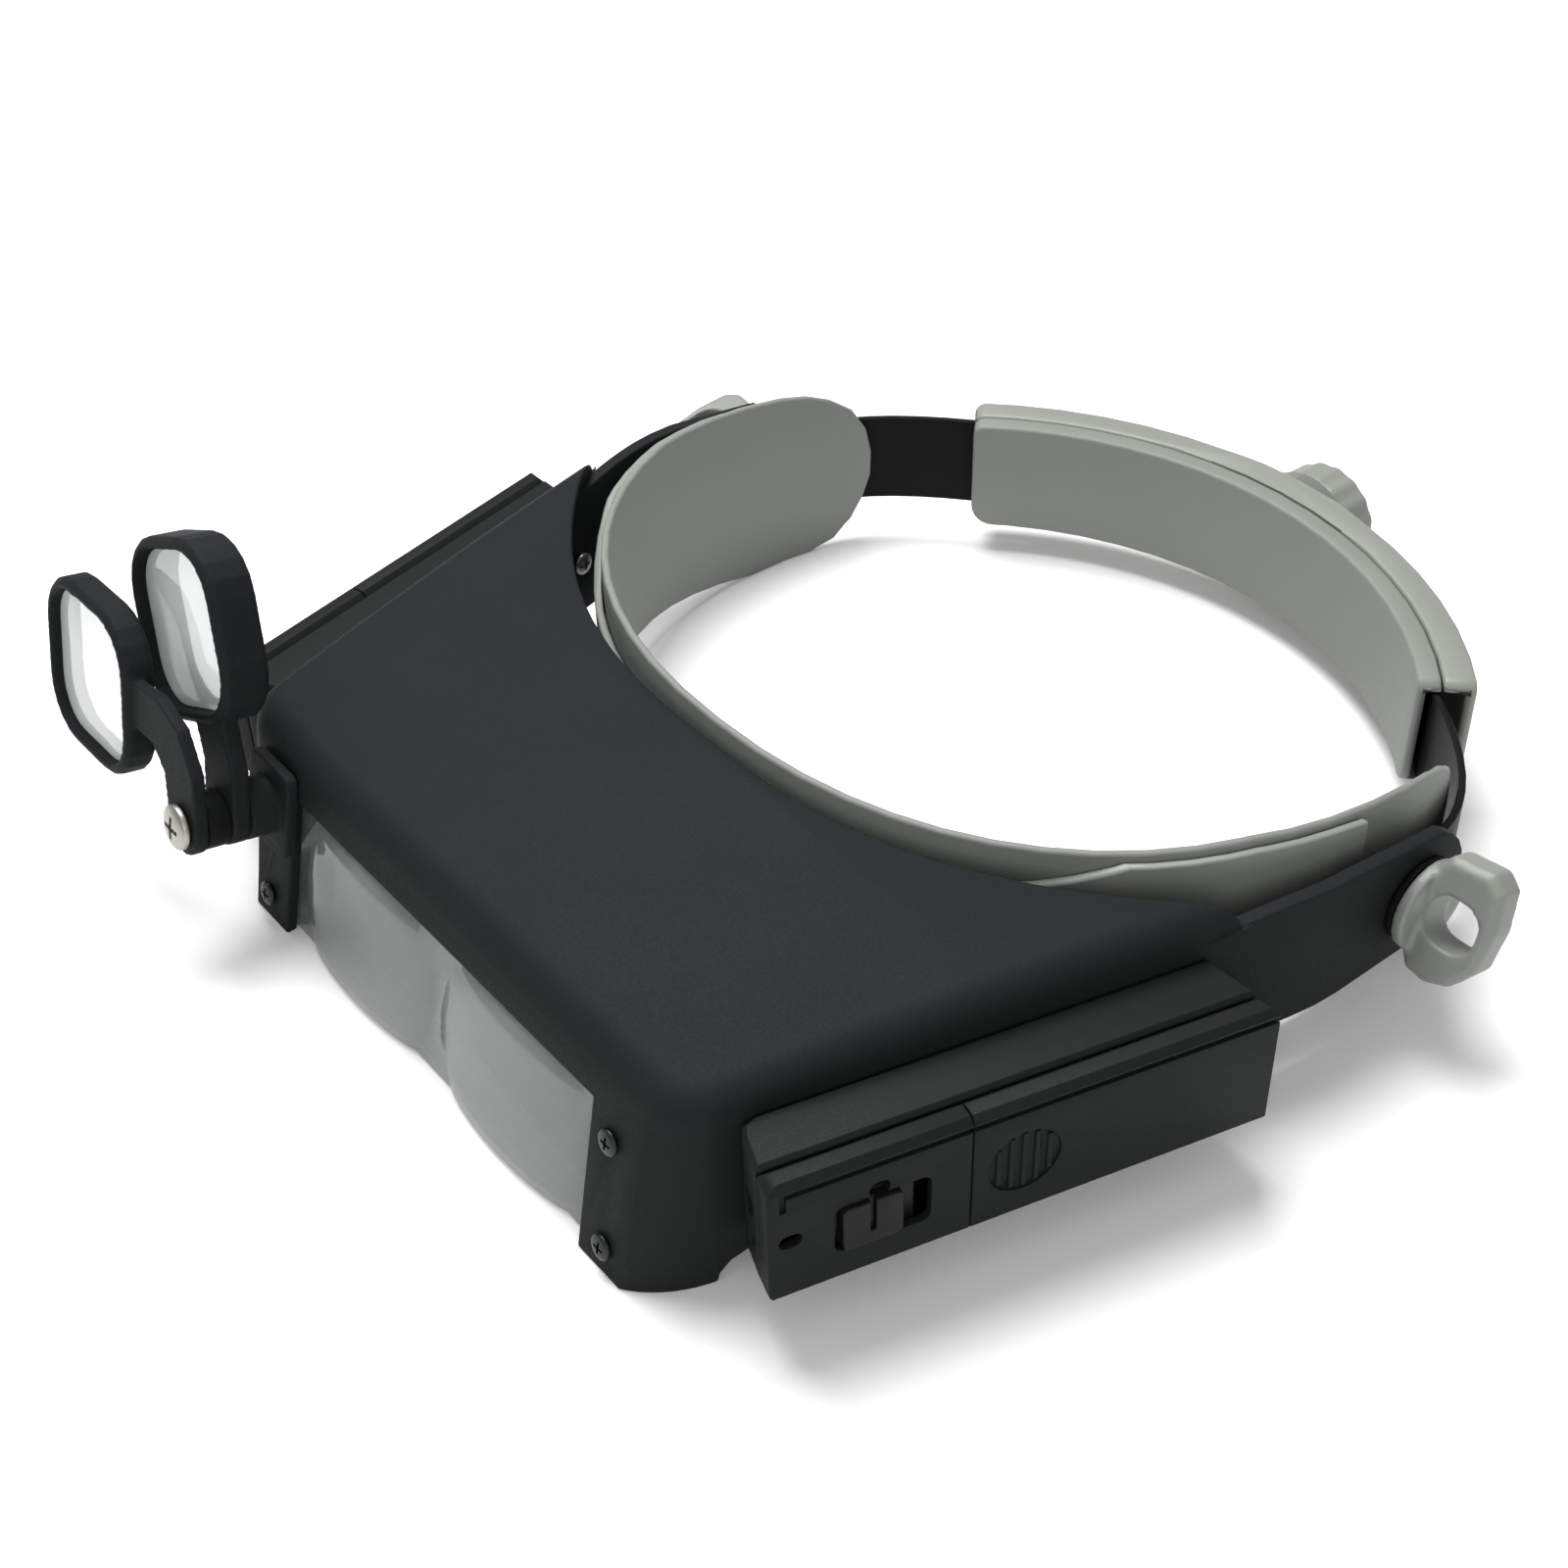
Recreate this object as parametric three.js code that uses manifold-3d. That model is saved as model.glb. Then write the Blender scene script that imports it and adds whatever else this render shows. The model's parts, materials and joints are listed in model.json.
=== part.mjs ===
// Head visor magnifier: a headband carries a tilting visor with a window of two magnifying zones, a flip-in
// lens, two swing-out loupes and a battery lamp on each side.
// Millimetres, +Z up, the wearer faces -Y, and the wearer's left is +X.
// Every piece is drawn in the head frame, whose origin is the middle of the tilt axis, and the group
// head_frame then stands it on the ground.
import * as THREE from 'three';
import { mergeVertices } from 'three/addons/utils/BufferGeometryUtils.js';
import Module from 'manifold-3d';

const wasm = await Module();
wasm.setup();

// --- driving dimensions -------------------------------------------------------------------------------
const GAP = 0.3;                       // clearance between neighbouring pieces
const GROUND_Z = -26.7;                // ground below the tilt axis
const BOX_CENTRE_Y = -36;              // middle of the whole object, front to rear

// head ring
const RING = { halfWidth: 88.4, frontLength: 78.3, rearLength: 66, power: 2.2 };
const LINER = { thick: 1.6, top: 20.8, frontBottom: -14, reach: 28.3 };
const BACKING = { thick: 1.6, top: 12, sideTop: 19.4, bottom: -10, end: -7.6, overStrap: 5 };
const STRAP = { thick: 1.5, x: 92.2, top: 4.2, bottom: -17.1, front: -11 };

// tilt axis, layer by layer outwards
const BOLT = { headIn: 90.5, headOut: 91.9, headR: 5.5, shaftR: 2, end: 102 };
const WASHER = { r: 8.5, thick: 1.2, inner: 94, outer: 98.8 };
const EAR = { inner: 95.5, outer: 98.5, r: 12.8, bottom: -13, onWall: [-60, -48, -36] };
const WING = { base: 100.3, baseR: 9, out: 116.2, half: 12.2, thick: 7.4, leftLean: 18, rightLean: 78 };
const EYE = { x: 8.1, halfX: 5.1, halfY: 4.8, corner: 4 };      // x is measured from the wing's base

// visor shell
const SPLAY = THREE.MathUtils.degToRad(14.4);
const WALL = 2.2;
const SIDE_REAR = { x: 92.5, y: -47.9 };          // outer face of the side wall at the lamp's rear end
const FRONT = { y: -139.4, lean: 0.208, crease: 15.5, cornerR: 10 };
const ROOF = { z: 19.2, fallFrom: -45.6, fall: 0.00046, fillet: 5, steps: 5 };
const REAR_EDGE = { y: -82.2, fall: 42.7, at: 96, power: 2.55 };   // falls back by 42.7 at 96 to the side
const WINDOW = { halfTop: 48.6, halfBottom: 49.8, top: 4.4 };

// lenses in the visor, measured back from the outer face of the front wall
const MAIN_LENS = { back: 2.5, thick: 2.4, half: 60, top: 9, bottom: -25.6 };
const ZONE = { x: 24.4, half: 23.6, bulge: 3.4 };
const FLIP_LENS = { back: 8, thick: 2, half: 45, hingeZ: 9.4, bottom: -22, pinR: 1.2, barrelR: 2.4 };
const LENS_SCREW = { r: 1.3, headR: 2.4, headH: 1, end: -5.6 };
const POST_SCREWS = [[54.6, -0.4], [56.2, -21.6], [-56.2, -21.6]];   // across the window and up the lens
const LOUPE_SCREW_HOLE = [-54, 1.4];

// lamp box: u runs forwards along the box, w outwards from the shell wall
const LAMP = { top: 10.3, bottom: -16, width: 16, seam: 10.8, frontIn: 85, frontOut: 87, wall: 1.5 };
const DOOR_FRONT = 51.6;
const REVEAL = { drop: 1.7, deep: 0.8, wide: 1.1, front: 83.6 };   // groove that frames the covers' side face
const CELL = { r: 5.25, length: 44.5, w: 7.9, rear: 4.2, upper: 2.6, lower: -8.3 };
const LAMP_SCREW = { r: 1.3, headR: 2.5, z: -2.9 };
const LAMP_SCREWS = [
  { name: 'rear_housing_screw', u: 3.4, seat: 3.5 },
  { name: 'front_housing_screw', u: 64, seat: WALL },
];
const LED = { w: 5.6, z: -2.2, r: 2.4, flangeR: 3.2 };
const SLOT = { rear: 58.9, front: 75.6, top: 1.2, bottom: -9 };
const SWITCH = { rear: 64, front: 74.4 };
const GRIP = { u: 42.3, z: -3.4, r: 6.6 };

// loupes: a runs to the wearer's left, b up the lens plane, d back along the loupe pivot
const PIVOT = { x: -53.9, y: -164, z: 5.7 };
const LOUPE = { half: 17.4, opening: 15.1, cornerR: 11.4, rim: 2.4, lensBack: 1.6 };
const FRONT_LOUPE = { a: -37, b: 12.3, turn: 3, from: 1, to: 7.4, armFrom: 2.4, armTo: 5 };
const REAR_LOUPE = { a: -17, b: 30.2, turn: 24, from: 9.6, to: 18.8, armFrom: 9.9, armTo: 13.4 };
const HUB_R = 5.8;

// rear housing: a sector of a ring round its own centre
const HOUSING = { centreY: -20.2, inner: 88.9, seam: 93.75, outer: 100.4, half: 45.7, wall: 2 };
const HOUSING_Z = { top: 6.7, bottom: -19.6, lowR: 5, highR: 2.6 };
const KNOB_Z = (HOUSING_Z.top + HOUSING_Z.bottom) / 2;
const BAND_IN = { inner: 92, outer: 93.5 };
const BAND_OUT = { inner: 95.1, outer: 96.6 };
const REAR_KNOB = { r: 12.4, from: 83.6, to: 92.7, shaftR: 3, lobes: 16, lobeDepth: 0.35 };

const MATERIALS = {
  black: { color: 0x2d3030, roughness: 0.6, metalness: 0 },
  darkSatin: { color: 0x2a2d2e, roughness: 0.45, metalness: 0 },
  grey: { color: 0x9a9e95, roughness: 0.55, metalness: 0 },
  softGrey: { color: 0x868a81, roughness: 0.8, metalness: 0 },
  clear: { color: 0xcfd8d2, roughness: 0.05, metalness: 0 },
  steel: { color: 0xa9a89c, roughness: 0.35, metalness: 1 },
  cell: { color: 0x4a6b4f, roughness: 0.4, metalness: 0 },
  led: { color: 0xf0eddc, roughness: 0.1, metalness: 0 },
};

// --- solids -------------------------------------------------------------------------------------------
function solid(geometry) {
  const bare = geometry.index ? geometry.toNonIndexed() : geometry.clone();
  bare.deleteAttribute('normal');
  bare.deleteAttribute('uv');
  const merged = mergeVertices(bare, 1e-4);
  const vertProperties = new Float32Array(merged.attributes.position.array);
  const triVerts = new Uint32Array(merged.index.array);
  return new wasm.Manifold(new wasm.Mesh({ numProp: 3, vertProperties, triVerts }));
}

function geometryOf(shape) {
  const mesh = shape.getMesh();
  const geometry = new THREE.BufferGeometry();
  geometry.setAttribute('position', new THREE.BufferAttribute(new Float32Array(mesh.vertProperties), 3));
  geometry.setIndex(new THREE.BufferAttribute(new Uint32Array(mesh.triVerts), 1));
  geometry.computeVertexNormals();
  return geometry;
}

const cut = (shape, ...tools) => tools.reduce((left, tool) => left.subtract(tool), shape);
const join = (shape, ...others) => others.reduce((whole, other) => whole.add(other), shape);

function mirrored(geometry) {
  const flipped = geometry.clone().applyMatrix4(new THREE.Matrix4().makeScale(-1, 1, 1));
  const index = flipped.index.array;
  for (let i = 0; i < index.length; i += 3) {
    [index[i + 1], index[i + 2]] = [index[i + 2], index[i + 1]];
  }
  flipped.computeVertexNormals();
  return flipped;
}

// --- frames: each turns an outline drawn in two of its axes into a prism along the third ----------------
function frame(first, second, third, origin = [0, 0, 0]) {
  const matrix = new THREE.Matrix4();
  matrix.makeBasis(new THREE.Vector3(...first), new THREE.Vector3(...second), new THREE.Vector3(...third));
  return matrix.setPosition(...origin);
}

const PLAN = frame([1, 0, 0], [0, 1, 0], [0, 0, 1]);
const SIDE = frame([0, 1, 0], [0, 0, 1], [1, 0, 0]);
const BACK = frame([0, 0, 1], [1, 0, 0], [0, 1, 0]);
const sin = Math.sin(SPLAY);
const cos = Math.cos(SPLAY);
const LAMP_AXES = [[-sin, -cos, 0], [cos, -sin, 0], [0, 0, 1]];
const LAMP_ORIGIN = [SIDE_REAR.x, SIDE_REAR.y, 0];
const LAMP_PLAN = frame(...LAMP_AXES, LAMP_ORIGIN);
const LAMP_SIDE = frame(LAMP_AXES[2], LAMP_AXES[0], LAMP_AXES[1], LAMP_ORIGIN);
const LAMP_END = frame(LAMP_AXES[1], LAMP_AXES[2], LAMP_AXES[0], LAMP_ORIGIN);
const tilt = Math.atan(FRONT.lean);
const LENS_UP = [0, Math.sin(tilt), Math.cos(tilt)];
const LENS_FRONT = [0, -Math.cos(tilt), Math.sin(tilt)];
const LOUPE_FRAME = frame([1, 0, 0], LENS_UP, LENS_FRONT, [PIVOT.x, PIVOT.y, PIVOT.z]);
const POST_FACE = (frontY(PIVOT.z) - PIVOT.y) * Math.cos(tilt);
const WINDOW_FRAME = frame([1, 0, 0], LENS_UP, LENS_FRONT, [0, frontY(0), 0]);

function wingFrame(leanDegrees) {
  const lean = THREE.MathUtils.degToRad(leanDegrees);
  return frame([1, 0, 0], [0, Math.sin(lean), Math.cos(lean)], [0, -Math.cos(lean), Math.sin(lean)]);
}

function outlineOf(points) {
  return new THREE.Shape(points.map(([x, y]) => new THREE.Vector2(x, y)));
}

function prism(outline, from, to, matrix = PLAN, bevel = 0, holes = []) {
  const shape = Array.isArray(outline) ? outlineOf(outline) : outline;
  shape.holes.push(...holes);
  const settings = { depth: to - from - 2 * bevel, steps: 1, curveSegments: 6, bevelEnabled: bevel > 0 };
  if (bevel > 0) {
    const sizes = { bevelSize: bevel, bevelThickness: bevel, bevelOffset: -bevel };
    Object.assign(settings, sizes, { bevelSegments: 1 });
  }
  const geometry = new THREE.ExtrudeGeometry(shape, settings);
  geometry.translate(0, 0, from + bevel);
  return solid(geometry.applyMatrix4(matrix));
}

function rod(radius, from, to, matrix, [first, second] = [0, 0], sides = 16) {
  const circle = new THREE.Shape();
  for (let i = 0; i < sides; i += 1) {
    const angle = ((i + 0.5) / sides) * 2 * Math.PI;
    const x = first + radius * Math.cos(angle);
    const y = second + radius * Math.sin(angle);
    circle[i ? 'lineTo' : 'moveTo'](x, y);
  }
  return prism(circle, from, to, matrix);
}

const box = (from, to, matrix = PLAN) => prism(
  [[from[0], from[1]], [to[0], from[1]], [to[0], to[1]], [from[0], to[1]]], from[2], to[2], matrix,
);

function roundedRect(halfX, halfY, radius, [cx, cy] = [0, 0], turn = 0, steps = 5) {
  const points = [];
  for (let corner = 0; corner < 4; corner += 1) {
    const sx = corner === 0 || corner === 3 ? 1 : -1;
    const sy = corner < 2 ? 1 : -1;
    for (let i = 0; i <= steps; i += 1) {
      const angle = (corner + i / steps) * (Math.PI / 2);
      const x = sx * (halfX - radius) + radius * Math.cos(angle);
      const y = sy * (halfY - radius) + radius * Math.sin(angle);
      const right = x * Math.cos(turn) - y * Math.sin(turn);
      const up = x * Math.sin(turn) + y * Math.cos(turn);
      points.push([cx + right, cy + up]);
    }
  }
  return points;
}

const smooth = (points, count) => new THREE.SplineCurve(points.map(([x, y]) => new THREE.Vector2(x, y)))
  .getSpacedPoints(count).map((p) => [p.x, p.y]);

// --- head ring ------------------------------------------------------------------------------------------
// A superellipse round the head, grown outwards by offset, from one temple round the forehead to the other.
function ringPath(offset, end, count = 36) {
  const a = RING.halfWidth + offset;
  const lengthAt = (y) => (y > 0 ? RING.rearLength : RING.frontLength) + offset;
  const last = Math.asin(Math.sign(end) * Math.abs(end / lengthAt(end)) ** (RING.power / 2));
  const points = [];
  for (let i = 0; i <= count; i += 1) {
    const angle = Math.PI - last + (i / count) * (Math.PI + 2 * last);
    const x = a * Math.sign(Math.cos(angle)) * Math.abs(Math.cos(angle)) ** (2 / RING.power);
    const rise = Math.sin(angle);
    const y = lengthAt(rise) * Math.sign(rise) * Math.abs(rise) ** (2 / RING.power);
    points.push([x, y]);
  }
  return points;
}

const ribbon = (inner, outer) => [...inner, ...[...outer].reverse()];

// Two temple pads stand on the ground and taper up to the narrower pad across the forehead.
function sweatband() {
  const { reach, thick, top, frontBottom } = LINER;
  const plan = ribbon(ringPath(0, reach), ringPath(thick, reach));
  const paddle = smooth([[13, GROUND_Z], [20.5, -23.5], [25.8, -14], [27.6, -4], [24.5, 7.5], [15, 14],
    [0, 17.2], [-30, top]], 16);
  const taper = [[-60, frontBottom - 0.6], [-42, -18.3], [-4, GROUND_Z]];
  const side = [[-95, frontBottom], ...taper, ...paddle, [-95, top]];
  return prism(plan, -30, 30).intersect(prism(side, -100, 100, SIDE));
}

function frontBand() {
  const inner = LINER.thick + GAP;
  const plan = ribbon(ringPath(inner, BACKING.end), ringPath(inner + BACKING.thick, BACKING.end));
  const step = STRAP.front - 2.5;      // below the step the band ends clear of the strap
  const side = [[-95, BACKING.bottom], [step, BACKING.bottom], [step, BACKING.overStrap],
    [BACKING.end, BACKING.overStrap], [BACKING.end, 16.8], [-14, 17.8], [-30, BACKING.sideTop],
    [-50, BACKING.sideTop], [-66, BACKING.top], [-95, BACKING.top]];
  return prism(plan, -30, 30).intersect(prism(side, -100, 100, SIDE));
}

// --- rear housing ---------------------------------------------------------------------------------------
function arc(radius, fromDegrees, toDegrees, count) {
  const points = [];
  for (let i = 0; i <= count; i += 1) {
    const angle = THREE.MathUtils.degToRad(fromDegrees + ((toDegrees - fromDegrees) * i) / count);
    points.push([radius * Math.sin(angle), HOUSING.centreY + radius * Math.cos(angle)]);
  }
  return points;
}

const sector = (inner, outer, from, to, count = 16) => ribbon(
  arc(inner, to, from, count), arc(outer, to, from, count),
);

const bothSides = (shape) => join(shape, solid(mirrored(geometryOf(shape))));

// What a rounded corner takes off the housing's end at height z; a negative rise is an upper corner.
function endCorner(z, rise) {
  const angle = THREE.MathUtils.degToRad(HOUSING.half);
  const past = [Math.cos(angle), -Math.sin(angle), 0];
  const outwards = [Math.sin(angle), Math.cos(angle), 0];
  const reach = Math.abs(rise);
  const outline = [[z - rise, 1], [z - rise, -reach]];
  const steps = 6;
  for (let i = 0; i <= steps; i += 1) {
    const turn = (i / steps) * (Math.PI / 2);
    outline.push([z + rise * (1 - Math.cos(turn)), reach * (Math.sin(turn) - 1)]);
  }
  outline.push([z + rise, 1]);
  const at = frame([0, 0, 1], past, outwards, [0, HOUSING.centreY, 0]);
  return prism(outline, HOUSING.inner - 6, HOUSING.outer + 6, at);
}

function housingHalf(inner, outer, channelIn, channelOut) {
  const half = HOUSING.half;
  const { top, bottom } = HOUSING_Z;
  const blank = prism(sector(inner, outer, -half, half), bottom, top);
  const corners = join(endCorner(bottom, HOUSING_Z.lowR), endCorner(top, -HOUSING_Z.highR));
  const body = cut(blank, bothSides(corners));
  const channel = sector(channelIn, channelOut, -half - 3, half + 3);
  return cut(body, prism(channel, HOUSING_Z.bottom + HOUSING.wall, HOUSING_Z.top - HOUSING.wall));
}

function housingInner() {
  return housingHalf(HOUSING.inner, HOUSING.seam - GAP / 2, HOUSING.inner + HOUSING.wall, HOUSING.outer);
}

function housingOuter() {
  const { inner, seam, outer, wall } = HOUSING;
  const shell = housingHalf(seam + GAP / 2, outer, inner, outer - wall);
  const boss = rod(13.2, HOUSING.centreY + HOUSING.outer - 1.6, REAR_KNOB.from - GAP, BACK, [KNOB_Z, 0], 24);
  const bore = rod(REAR_KNOB.shaftR + GAP, 60, 90, BACK, [KNOB_Z, 0]);
  return cut(join(shell, boss), bore);
}

// A strap runs straight back from the tilt bolt, bends in to the housing and ends there in a narrow tongue.
function strap(side, band, tongueTop, tongueBottom) {
  const path = (offset, radius) => {
    const entry = arc(radius, HOUSING.half, HOUSING.half, 1)[0];
    const bend = new THREE.QuadraticBezierCurve(
      new THREE.Vector2(STRAP.x + offset, 10),
      new THREE.Vector2(STRAP.x + offset, 27 + offset * 0.4),
      new THREE.Vector2(...entry),
    );
    return [[STRAP.x + offset, STRAP.front], ...bend.getPoints(9).map((p) => [p.x, p.y])];
  };
  const inner = [...path(0, band.inner), ...arc(band.inner, HOUSING.half, 14, 8).slice(1)];
  const outer = [...path(STRAP.thick, band.outer), ...arc(band.outer, HOUSING.half, 14, 8).slice(1)];
  const body = prism(ribbon(outer, inner), STRAP.bottom, STRAP.top);
  const tongue = prism(sector(band.inner, band.outer, -42, 15), tongueBottom, tongueTop);
  const bolt = rod(BOLT.shaftR + GAP, 80, 110, SIDE);
  const whole = cut(join(body, tongue), bolt);
  return side === 'left' ? geometryOf(whole) : mirrored(geometryOf(whole));
}

function gearOutline(teeth, root, tip) {
  const points = [];
  for (let i = 0; i < teeth * 4; i += 1) {
    const angle = (i / (teeth * 4)) * 2 * Math.PI;
    const radius = i % 4 < 2 ? tip : root;
    points.push([radius * Math.cos(angle), radius * Math.sin(angle)]);
  }
  return points;
}

function shifted(points, dx, dy) {
  return points.map(([x, y]) => [x + dx, y + dy]);
}

function rearKnob() {
  const lobes = gearOutline(REAR_KNOB.lobes, REAR_KNOB.r - REAR_KNOB.lobeDepth, REAR_KNOB.r);
  const grip = prism(shifted(lobes, KNOB_Z, 0), REAR_KNOB.from, REAR_KNOB.to, BACK, 1);
  return join(grip, rod(REAR_KNOB.shaftR, 78, REAR_KNOB.from + 1, BACK, [KNOB_Z, 0]));
}

function pinion() {
  const gear = prism(shifted(gearOutline(10, 3.9, 5), KNOB_Z, 0), 71.4, 77.4, BACK);
  return join(gear, rod(2, 70.9, 77.7, BACK, [KNOB_Z, 0]));
}

// --- tilt axis ------------------------------------------------------------------------------------------
function tiltBolt() {
  const head = rod(BOLT.headR, BOLT.headIn, BOLT.headOut, SIDE);
  return join(head, rod(BOLT.shaftR, BOLT.headOut - 0.2, BOLT.end, SIDE));
}

function washer(x) {
  const disc = rod(WASHER.r, x, x + WASHER.thick, SIDE, [0, 0], 24);
  return cut(disc, rod(BOLT.shaftR + GAP, x - 1, x + 3, SIDE));
}

// A round base carries a flat wing with an eye through it.
function wingKnob(leanDegrees) {
  const { base, baseR, out, half, thick } = WING;
  const at = wingFrame(leanDegrees);
  const outline = [[base + 0.6, 8.3], [base + 3.4, half - 0.2], [out - 4.2, half + 0.8],
    [out - 1.2, half - 1.6], [out, 3], [out - 0.6, -5], [out - 4.4, 1.7 - half], [base + 7, -half],
    [base + 2.6, 0.6 - half], [base + 0.6, -8.3]];
  const plate = prism(outline, -thick / 2, thick / 2, at, 1.3);
  const foot = rod(baseR, base, base + 2.4, SIDE, [0, 0], 20);
  const eye = prism(roundedRect(EYE.halfX, EYE.halfY, EYE.corner, [base + EYE.x, 0.6]), -thick, thick, at);
  const bore = rod(BOLT.shaftR + GAP, base - 1, BOLT.end + GAP, SIDE);
  return cut(join(foot, plate), eye, bore);
}

// --- visor shell ----------------------------------------------------------------------------------------
function frontY(z) {
  return FRONT.y - (FRONT.crease - z) * FRONT.lean;
}

const roofZ = (y) => ROOF.z - ROOF.fall * Math.min(0, y - ROOF.fallFrom) ** 2;

// The side wall's outer face, splayed out towards the rear.
const wallAt = (y) => SIDE_REAR.x + (y - SIDE_REAR.y) * Math.tan(SPLAY);

// Half of the shell's plan, from the middle of the front round the corner to the temple. Each point says
// how much it leans with the front wall.
function halfPlan(inset) {
  const r = FRONT.cornerR - inset;
  const wallX = (y) => wallAt(y) - inset / cos;
  const centreY = FRONT.y + FRONT.cornerR;
  const centreX = wallX(centreY) - r / cos;
  const points = [{ x: 0, y: FRONT.y + inset, front: 1 }, { x: 46, y: FRONT.y + inset, front: 1 }];
  const steps = 10;
  for (let i = 0; i <= steps; i += 1) {
    const angle = -Math.PI / 2 + (i / steps) * (Math.PI / 2 - SPLAY);
    points.push({ x: centreX + r * Math.cos(angle), y: centreY + r * Math.sin(angle), front: 1 - i / steps });
  }
  for (const y of [-110, -85, -65, -50, -35, -20]) {
    points.push({ x: wallX(y), y, front: 0 });
  }
  return points;
}

function fullPlan(inset) {
  const half = halfPlan(inset);
  const other = half.slice(1).reverse().map((p) => ({ ...p, x: -p.x }));
  return [...other, ...half];
}

// The outside of the visor as one closed loft: rings from the ground up the walls, round the fillet, and a
// roof that closes over them.
function visorBlock(inset, bottom) {
  const rings = [[inset, () => bottom], [inset, (y) => roofZ(y) - ROOF.fillet]];
  for (let i = 1; i <= ROOF.steps; i += 1) {
    const angle = (i / ROOF.steps) * (Math.PI / 2);
    const pull = ROOF.fillet * (1 - Math.cos(angle));
    const drop = ROOF.fillet * (1 - Math.sin(angle)) + inset * Math.sin(angle);
    rings.push([inset + pull, (y) => roofZ(y) - drop]);
  }
  const positions = [];
  const count = fullPlan(0).length;
  for (const [pull, height] of rings) {
    for (const { x, y, front } of fullPlan(pull)) {
      const z = height(y);
      const leanBy = front * (FRONT.crease - z) * FRONT.lean;
      positions.push(x, y - leanBy, z);
    }
  }
  const index = [];
  const quad = (a, b, c, d) => index.push(a, b, c, a, c, d);
  for (let ring = 0; ring + 1 < rings.length; ring += 1) {
    for (let i = 0; i < count; i += 1) {
      const next = (i + 1) % count;
      quad(ring * count + i, ring * count + next, (ring + 1) * count + next, (ring + 1) * count + i);
    }
  }
  // caps: pair each point with its mirror twin
  const top = (rings.length - 1) * count;
  for (let i = 0; i + 1 < count - 1 - i; i += 1) {
    const [a, b, c, d] = [i, i + 1, count - 2 - i, count - 1 - i];
    if (b === c) {
      index.push(top + a, top + b, top + d, b, a, d);
    } else {
      quad(top + a, top + b, top + c, top + d);
      quad(a, d, c, b);
    }
  }
  const geometry = new THREE.BufferGeometry();
  geometry.setAttribute('position', new THREE.Float32BufferAttribute(positions, 3));
  geometry.setIndex(index);
  return solid(geometry);
}

// The shell's rear edge stands clear of the headband round the forehead and falls back to the temples.
function rearEdge() {
  const points = [];
  const steps = 36;
  for (let i = 0; i <= steps; i += 1) {
    const x = REAR_EDGE.at * (-1 + (2 * i) / steps);
    points.push([x, REAR_EDGE.y + REAR_EDGE.fall * Math.abs(x / REAR_EDGE.at) ** REAR_EDGE.power]);
  }
  return points;
}

function earSide() {
  const end = [];
  for (let degrees = 65; degrees >= -80; degrees -= 15.5) {
    const angle = THREE.MathUtils.degToRad(degrees);
    end.push([EAR.r * Math.cos(angle), EAR.r * Math.sin(angle)]);
  }
  const top = smooth([[-62, 9], [-50, 12.4], [-40, 14.2], [-30, 14.9], [-17.5, 14.6]], 10);
  return [...top, ...end, [-31, EAR.bottom], [-46, LAMP.bottom], [-62, LAMP.bottom]];
}

// The ear runs on from the outer face of the wall and bends in line with the tilt axis's washers.
function ear() {
  const path = (outer) => {
    const inset = outer ? 0 : EAR.outer - EAR.inner;
    const onWall = EAR.onWall.map((y) => [wallAt(y) - inset, y]);
    const flat = [[EAR.outer - inset - 0.5, -24], [EAR.outer - inset, -13], [EAR.outer - inset, 14]];
    return smooth([...onWall, ...flat], 14);
  };
  const blank = prism(ribbon(path(true), path(false)), -20, 24).intersect(prism(earSide(), 70, 120, SIDE));
  return cut(blank, rod(BOLT.shaftR + GAP, 80, 110, SIDE));
}

// A block under the roof that holds the end of the flip lens's pin.
function flipLug(inner) {
  const low = FLIP_LENS.hingeZ - 3.2;
  const at = frame([0, 0, 1], [0, 1, 0], [-1, 0, 0], [0, flipHingeY() - 2, 0]);
  const block = prism([[low, -1], [ROOF.z, -1], [ROOF.z, 5], [low, 5]], -inner - 2.5, -inner, at);
  return block.intersect(visorBlock(WALL / 2, GROUND_Z));
}

// The side walls' lower edge: an arc from each front post up to the lamp, then level behind it.
function underCut() {
  const arch = smooth([[-134.6, GROUND_Z - 1], [-133.4, -23.8], [-129.5, -21.8], [-125, -19],
    [-119, LAMP.bottom]], 7);
  const behind = [[-46, LAMP.bottom], [-31, EAR.bottom], [40, EAR.bottom], [40, -60]];
  return prism([[-134.6, -60], ...arch, ...behind], -120, 120, SIDE);
}

function visorShell() {
  const temple = REAR_EDGE.y + REAR_EDGE.fall;
  const behind = prism([...rearEdge(), [110, temple], [110, 60], [-110, 60], [-110, temple]], -60, 60);
  const window = [[-WINDOW.halfBottom, -45], [WINDOW.halfBottom, -45], [WINDOW.halfTop, WINDOW.top],
    [-WINDOW.halfTop, WINDOW.top]];
  const shell = cut(visorBlock(0, GROUND_Z), visorBlock(WALL, GROUND_Z - 4), behind, underCut(),
    prism(window, -9, 9, WINDOW_FRAME));
  const holes = [rod(FLIP_LENS.pinR + GAP, -60, 60, SIDE, [flipHingeY(), FLIP_LENS.hingeZ], 12)];
  for (const at of [...POST_SCREWS, LOUPE_SCREW_HOLE]) {
    holes.push(rod(LENS_SCREW.r + GAP, -9, 9, WINDOW_FRAME, at, 12));
  }
  for (const { u } of LAMP_SCREWS) {
    holes.push(bothSides(rod(LAMP_SCREW.r + GAP, -8, 3, LAMP_SIDE, [LAMP_SCREW.z, u], 12)));
  }
  return cut(join(shell, bothSides(ear()), flipLug(46.4), flipLug(-48.9)), ...holes);
}

function flipHingeY() {
  return frontY(FLIP_LENS.hingeZ) + FLIP_LENS.back;
}

// --- lenses in the window -------------------------------------------------------------------------------
const upLens = (z) => z / Math.cos(tilt);

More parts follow.
